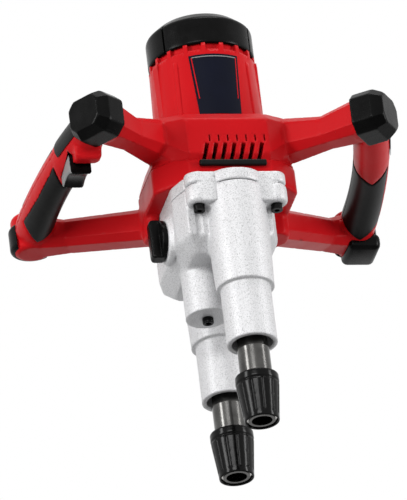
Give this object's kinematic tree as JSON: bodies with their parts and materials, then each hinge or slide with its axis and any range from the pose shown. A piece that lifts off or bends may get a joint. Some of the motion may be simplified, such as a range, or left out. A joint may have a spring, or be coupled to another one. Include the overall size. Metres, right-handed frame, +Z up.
{
  "type": "twin-spindle mixing drill",
  "caption": "Two-handed mixing drill with a red motor housing on looped side grips and a cast gearbox that turns a pair of parallel spindles with quick chucks in opposite directions.",
  "frame": {"origin": "midpoint between the mouths of the two chucks, on the motor axis", "axes": "+Z up along the motor axis from the chucks to the cap, +X to the grip without a trigger, -Y to the label and the front spindle"},
  "size_m": [0.364, 0.2655, 0.456],
  "materials": {
    "red_plastic": "satin moulded",
    "soft_grip": "soft overmould",
    "black_plastic": "satin moulded",
    "black_oxide_steel": "black oxide",
    "ground_steel": "ground",
    "cast_aluminium": "hammered silver paint on a casting",
    "core_iron": "laminated",
    "winding_copper": "enamelled winding",
    "seal_rubber": "matte",
    "brush_carbon": "pressed carbon",
    "bracket_aluminium": "as cast",
    "label_film": "bare dark panel"
  },
  "bodies": {
    "housing": {"bearing_bracket": "bracket_aluminium", "brush_holders": "black_plastic", "cable_gland": "black_plastic", "carbon_brushes": "brush_carbon", "dial_pin": "ground_steel", "field_coils": "winding_copper", "front_shaft_seal": "seal_rubber", "front_spindle_bearings": "ground_steel", "gearbox_casing": "cast_aluminium", "gearbox_cover": "cast_aluminium", "gearbox_screws": "black_oxide_steel", "grease_plug": "black_oxide_steel", "housing_screws": "black_oxide_steel", "label_plate": "label_film", "layshaft_bearings": "ground_steel", "left_knuckle_bumper": "black_plastic", "left_lower_grip": "soft_grip", "left_rear_bumper": "black_plastic", "left_upper_grip": "soft_grip", "lower_housing": "red_plastic", "motor_bearings": "ground_steel", "motor_cap": "black_plastic", "motor_housing": "red_plastic", "rear_shaft_seal": "seal_rubber", "rear_spindle_bearings": "ground_steel", "reverse_idler_pin": "ground_steel", "right_knuckle_bumper": "black_plastic", "right_lower_grip": "soft_grip", "right_rear_bumper": "black_plastic", "right_upper_grip": "soft_grip", "stator": "core_iron", "switch_module": "black_plastic"},
    "armature": {"armature_shaft": "ground_steel", "armature_core": "core_iron", "commutator": "winding_copper", "cooling_fan": "black_plastic"},
    "layshaft": {"layshaft": "ground_steel", "first_stage_gear": "ground_steel"},
    "drive_shaft": {"drive_shaft": "ground_steel", "drive_idler_gear": "ground_steel", "second_stage_gear": "ground_steel"},
    "reverse_idler": {"reverse_idler_gear": "ground_steel"},
    "front_spindle": {"front_spindle": "ground_steel", "front_spindle_gear": "ground_steel", "front_chuck_clip": "ground_steel"},
    "rear_spindle": {"rear_spindle": "ground_steel", "rear_spindle_gear": "ground_steel", "rear_chuck_clip": "ground_steel"},
    "front_chuck": {"front_chuck_sleeve": "black_oxide_steel"},
    "rear_chuck": {"rear_chuck_sleeve": "black_oxide_steel"},
    "selector": {"selector_knob": "black_plastic"},
    "trigger": {"trigger": "black_plastic"},
    "lock_button": {"lock_button": "black_plastic"},
    "speed_dial": {"speed_dial": "black_plastic"}
  },
  "joints": [
    {"name": "armature_spin", "type": "hinge", "parent": "housing", "child": "armature", "pos_m": [0, 0, 0.24], "axis": [0, 0, 1], "continuous": true},
    {"name": "layshaft_spin", "type": "hinge", "parent": "housing", "child": "layshaft", "pos_m": [-0.02575, -0.00361, 0.24], "axis": [0, 0, 1], "continuous": true},
    {"name": "drive_shaft_spin", "type": "hinge", "parent": "housing", "child": "drive_shaft", "pos_m": [0, -0.019, 0.24], "axis": [0, 0, 1], "continuous": true},
    {"name": "reverse_idler_spin", "type": "hinge", "parent": "housing", "child": "reverse_idler", "pos_m": [0, 0.019, 0.24], "axis": [0, 0, 1], "continuous": true},
    {"name": "front_spindle_spin", "type": "hinge", "parent": "housing", "child": "front_spindle", "pos_m": [0, -0.06, 0.24], "axis": [0, 0, 1], "continuous": true},
    {"name": "rear_spindle_spin", "type": "hinge", "parent": "housing", "child": "rear_spindle", "pos_m": [0, 0.06, 0.24], "axis": [0, 0, 1], "continuous": true},
    {"name": "front_chuck_slide", "type": "slide", "parent": "front_spindle", "child": "front_chuck", "axis": [0, 0, 1], "range_m": [0, 0.006], "stiffness_N_per_m": 900, "springref_m": -0.004},
    {"name": "rear_chuck_slide", "type": "slide", "parent": "rear_spindle", "child": "rear_chuck", "axis": [0, 0, 1], "range_m": [0, 0.006], "stiffness_N_per_m": 900, "springref_m": -0.004},
    {"name": "selector_turn", "type": "hinge", "parent": "housing", "child": "selector", "pos_m": [-0.066, -0.014, 0.2175], "axis": [1, 0, 0], "range_deg": [0, 180]},
    {"name": "trigger_pull", "type": "slide", "parent": "housing", "child": "trigger", "axis": [0, 0, 1], "range_m": [0, 0.006], "stiffness_N_per_m": 500, "springref_m": -0.002},
    {"name": "lock_press", "type": "slide", "parent": "housing", "child": "lock_button", "axis": [0, 0, -1], "range_m": [0, 0.002], "stiffness_N_per_m": 500, "springref_m": -0.001},
    {"name": "speed_dial_turn", "type": "hinge", "parent": "housing", "child": "speed_dial", "pos_m": [-0.1466, -0.0413, 0.31618], "axis": [1, 0, 0], "range_deg": [0, 270]}
  ],
  "couplings": [
    {"joint": "layshaft_spin", "follows": "armature_spin", "ratio": -0.2093},
    {"joint": "drive_shaft_spin", "follows": "armature_spin", "ratio": 0.089701},
    {"joint": "reverse_idler_spin", "follows": "armature_spin", "ratio": -0.089701},
    {"joint": "front_spindle_spin", "follows": "armature_spin", "ratio": -0.077469},
    {"joint": "rear_spindle_spin", "follows": "armature_spin", "ratio": 0.077469}
  ]
}
